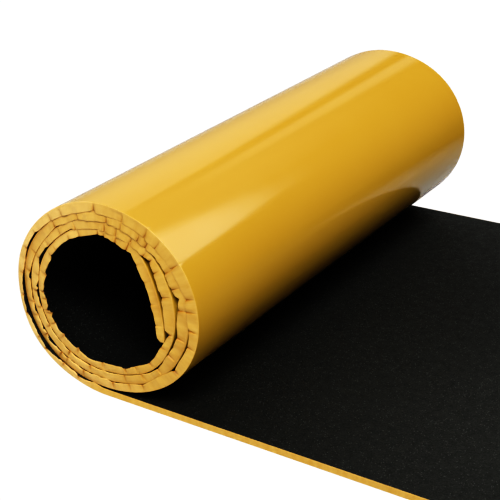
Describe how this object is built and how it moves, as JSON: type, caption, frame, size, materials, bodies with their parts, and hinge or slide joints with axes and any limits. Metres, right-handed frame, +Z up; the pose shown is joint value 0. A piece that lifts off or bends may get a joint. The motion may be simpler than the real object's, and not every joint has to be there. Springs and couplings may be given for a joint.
{
  "type": "acoustic foam sheet",
  "caption": "Black foam sheet faced with glossy yellow film, rolled up from one end with the rest lying flat on the floor.",
  "frame": {"origin": "on the floor below the middle of the roll, halfway along the roll's axis", "axes": "+X along the sheet, from the roll towards its flat end; +Y along the roll's axis; +Z up"},
  "size_m": [1.2998, 1, 0.379],
  "materials": {
    "foam": "matte fine-celled foam",
    "film": "glossy film"
  },
  "bodies": {
    "root": {"foam_sheet": "foam", "film_facing": "film"}
  },
  "joints": []
}
